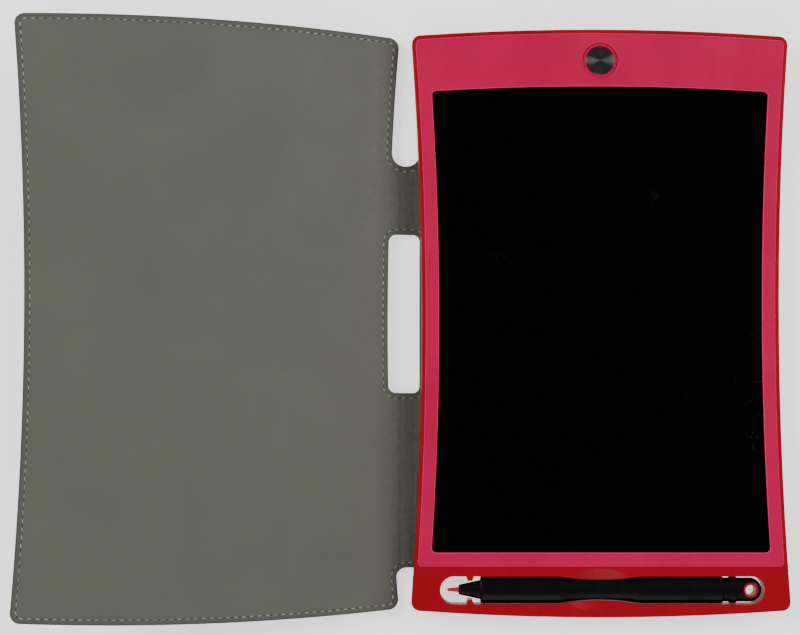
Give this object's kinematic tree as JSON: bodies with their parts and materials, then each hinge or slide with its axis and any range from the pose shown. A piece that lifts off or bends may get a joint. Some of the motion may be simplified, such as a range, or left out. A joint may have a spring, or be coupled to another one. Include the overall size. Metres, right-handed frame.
{
  "type": "liquid crystal writing tablet with folio cover",
  "caption": "Thin writing tablet with waisted sides, framed dark screen and round erase button, its stylus clipped in a slot under the screen, in an open stitched folio cover.",
  "frame": {"origin": "middle of the tablet, on the surface that the folio's back panel lies on", "axes": "+X to the tablet's right, +Y up the page towards the erase button, +Z out of the screen"},
  "size_m": [0.2844, 0.2222, 0.0391],
  "materials": {
    "case_red": "satin moulded ABS, red",
    "bezel_pink": "satin moulded ABS, magenta pink",
    "screen_black": "glossy laminated plastic film",
    "gasket_foam": "black double-sided tape",
    "plate_grey": "black-grey styrene sheet",
    "board_green": "glass-epoxy board with green mask",
    "chip_black": "moulded epoxy",
    "spring_metal": "nickel-plated spring steel",
    "tail_amber": "polyimide film",
    "screw_steel": "zinc-plated steel",
    "button_metal": "turned, black anodised",
    "cell_steel": "stamped stainless steel",
    "stylus_black": "satin-gloss moulded plastic",
    "stylus_red": "moulded plastic, red",
    "pad_foam": "adhesive foam",
    "folio_leather": "grey bonded leather, fine grain",
    "folio_board": "grey board"
  },
  "bodies": {
    "tablet": {"rear_case": "case_red", "front_bezel": "bezel_pink", "writing_panel": "screen_black", "panel_gasket": "gasket_foam", "backing_plate": "plate_grey", "circuit_board": "board_green", "dome_switch": "spring_metal", "controller_chip": "chip_black", "tail_connector": "chip_black", "panel_tail": "tail_amber", "cell_top_contact": "spring_metal", "cell_rim_contact": "spring_metal", "case_screws": "screw_steel", "mounting_pad": "pad_foam", "back_skin": "folio_leather", "back_board": "folio_board", "back_lining": "folio_leather"},
    "erase_button": {"button_plunger": "bezel_pink", "button_cap": "button_metal"},
    "battery_drawer": {"battery_tray": "case_red", "coin_cell": "cell_steel"},
    "stylus": {"stylus_barrel": "stylus_black", "stylus_nib": "stylus_red", "stylus_eyelet": "stylus_red"},
    "spine": {"spine_skin_upper": "folio_leather", "spine_lining_upper": "folio_leather", "spine_skin_lower": "folio_leather", "spine_lining_lower": "folio_leather"},
    "cover": {"cover_skin": "folio_leather", "cover_board": "folio_board", "cover_lining": "folio_leather"}
  },
  "joints": [
    {"name": "spine_fold", "type": "hinge", "parent": "tablet", "child": "spine", "pos_m": [-0.07065, 0, 0.0031], "axis": [0, 1, 0], "range_deg": [-7.5, 82.5]},
    {"name": "cover_fold", "type": "hinge", "parent": "spine", "child": "cover", "pos_m": [-0.0759, 0, 0.00379], "axis": [0, 1, 0], "range_deg": [-7.5, 82.5]},
    {"name": "erase_press", "type": "slide", "parent": "tablet", "child": "erase_button", "axis": [0, 0, -1], "range_m": [0, 0.00035], "stiffness_N_per_m": 600},
    {"name": "battery_drawer_slide", "type": "slide", "parent": "tablet", "child": "battery_drawer", "axis": [0, 1, 0], "range_m": [0, 0.024]},
    {"name": "stylus_seating", "type": "slide", "parent": "tablet", "child": "stylus", "axis": [0, 0, -1], "range_m": [-0.03, 0]}
  ]
}
